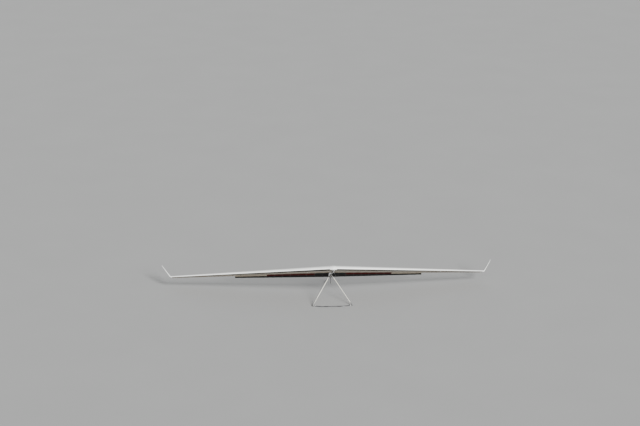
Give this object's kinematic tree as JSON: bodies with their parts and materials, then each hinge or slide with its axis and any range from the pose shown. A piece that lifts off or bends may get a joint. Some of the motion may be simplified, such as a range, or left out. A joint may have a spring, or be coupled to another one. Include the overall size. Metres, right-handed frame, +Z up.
{
  "type": "rigid-wing hang glider",
  "caption": "Swept cantilever flying wing with upturned tips, flaps and spoilers, over a triangular control frame and keel tube, parked nose up.",
  "frame": {"origin": "middle of the box round the parked glider, at floor level", "axes": "+X to the glider's left wingtip, +Y aft, +Z up"},
  "size_m": [13.8506, 2.8876, 1.7649],
  "materials": {
    "spar_white": "smooth white painted composite skin",
    "winglet_white": "white gel coat",
    "spoiler_white": "white painted composite plate",
    "nose_white": "white moulded fairing",
    "sail_cloth": "woven polyester sailcloth, greyish beige below and white above",
    "cover_cloth": "woven polyester sailcloth",
    "flap_rail_carbon": "carbon laminate",
    "flap_black": "black sailcloth on ribs",
    "keel_carbon": "satin carbon tube",
    "base_bar_carbon": "satin carbon bar",
    "foot_rubber": "moulded rubber",
    "webbing": "woven webbing",
    "upright_grey": "satin anodised faired tube",
    "fitting_alloy": "machined and anodised",
    "stay_wire": "stranded steel cable"
  },
  "bodies": {
    "airframe": {"spar_left": "spar_white", "sail_left": "sail_cloth", "flap_rail_left": "flap_rail_carbon", "winglet_left": "winglet_white", "spar_right": "spar_white", "sail_right": "sail_cloth", "flap_rail_right": "flap_rail_carbon", "winglet_right": "winglet_white", "nose_cone": "nose_white", "centre_cover": "cover_cloth", "keel_tube": "keel_carbon", "keel_foot": "foot_rubber", "nose_saddle": "fitting_alloy", "spar_saddle": "fitting_alloy", "hang_clamp": "fitting_alloy"},
    "control_frame": {"front_tang": "fitting_alloy", "rear_tang": "fitting_alloy", "upright_right": "upright_grey", "corner_right": "fitting_alloy", "front_stay_right": "stay_wire", "rear_stay_right": "stay_wire", "yoke": "fitting_alloy", "base_bar": "base_bar_carbon", "upright_left": "upright_grey", "corner_left": "fitting_alloy", "front_stay_left": "stay_wire", "rear_stay_left": "stay_wire"},
    "spoiler_left": {"spoiler_left": "spoiler_white"},
    "flap_left": {"flap_left": "flap_black"},
    "spoiler_right": {"spoiler_right": "spoiler_white"},
    "flap_right": {"flap_right": "flap_black"},
    "hang_strap": {"hang_strap": "webbing"}
  },
  "joints": [
    {"name": "frame_tilt", "type": "hinge", "parent": "airframe", "child": "control_frame", "pos_m": [0, -0.34668, 0.99938], "axis": [0, 0.876, -0.4823], "range_deg": [-8, 8], "stiffness_Nm_per_rad": 450},
    {"name": "flap_left_hinge", "type": "hinge", "parent": "airframe", "child": "flap_left", "pos_m": [0.005, -0.2432, 1.06081], "axis": [-0.9797, -0.1813, 0.0851], "range_deg": [-25, 35]},
    {"name": "flap_right_hinge", "type": "hinge", "parent": "airframe", "child": "flap_right", "pos_m": [-0.005, -0.2432, 1.06081], "axis": [-0.9797, 0.1813, -0.0851], "range_deg": [-25, 35]},
    {"name": "spoiler_left_hinge", "type": "hinge", "parent": "airframe", "child": "spoiler_left", "pos_m": [4.05, 0.11732, 1.0098], "axis": [0.9599, 0.241, -0.143], "range_deg": [0, 65], "stiffness_Nm_per_rad": 1.5, "springref_deg": -11.46},
    {"name": "spoiler_right_hinge", "type": "hinge", "parent": "airframe", "child": "spoiler_right", "pos_m": [-4.05, 0.11732, 1.0098], "axis": [0.9599, -0.241, 0.143], "range_deg": [0, 65], "stiffness_Nm_per_rad": 1.5, "springref_deg": -11.46},
    {"name": "hang_strap_hinge", "type": "hinge", "parent": "airframe", "child": "hang_strap", "pos_m": [0, -0.27882, 0.90494], "axis": [1, 0, 0], "range_deg": [-80, 50]}
  ],
  "couplings": [
    {"joint": "flap_right_hinge", "follows": "flap_left_hinge", "ratio": 1}
  ]
}
